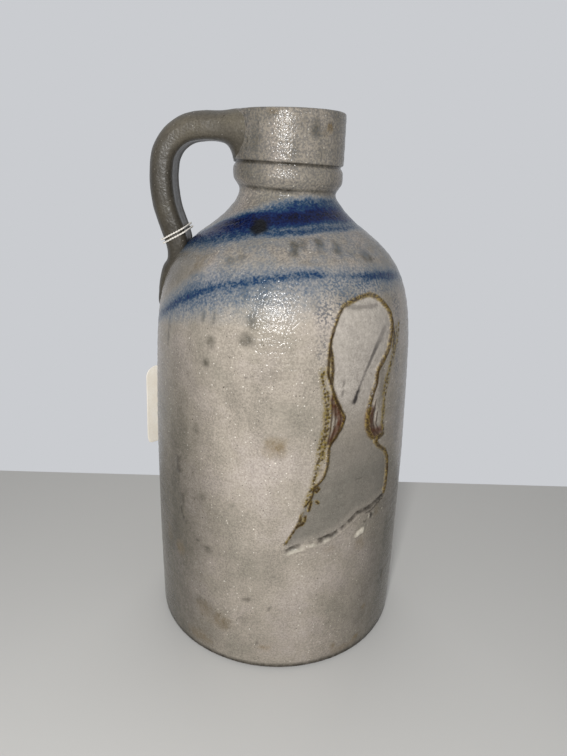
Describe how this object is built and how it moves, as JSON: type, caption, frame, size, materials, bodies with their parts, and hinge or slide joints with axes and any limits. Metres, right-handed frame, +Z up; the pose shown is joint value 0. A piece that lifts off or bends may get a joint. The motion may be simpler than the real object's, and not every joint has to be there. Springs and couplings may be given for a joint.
{
  "type": "stoneware jug",
  "caption": "Salt-glazed stoneware crock jug: tall cylinder with a rounded shoulder, narrow collared mouth and strap handle, with a blank card tag hanging on a string from the handle.",
  "frame": {"origin": "centre of the foot, on the surface that the jug stands on", "axes": "+Z up along the jug's axis; the handle points along -X; -Y is the pictured front"},
  "size_m": [0.1405, 0.1288, 0.252],
  "materials": {
    "body_glaze": "grey-beige salt glaze with an orange-peel skin and brushed cobalt bands",
    "handle_glaze": "the same salt glaze, a little darker and browner",
    "cotton_string": "white twisted cotton",
    "tag_card": "plain cream card, blank"
  },
  "bodies": {
    "jug": {"jug_body": "body_glaze", "handle": "handle_glaze", "string_winding": "cotton_string", "string_knot": "cotton_string"},
    "tag": {"string_drop": "cotton_string", "hang_tag": "tag_card"}
  },
  "joints": [
    {"name": "tag_swing", "type": "hinge", "parent": "jug", "child": "tag", "pos_m": [-0.05726, 0.01175, 0.19547], "axis": [0.201, 0.9796, 0], "range_deg": [0, 90]}
  ]
}
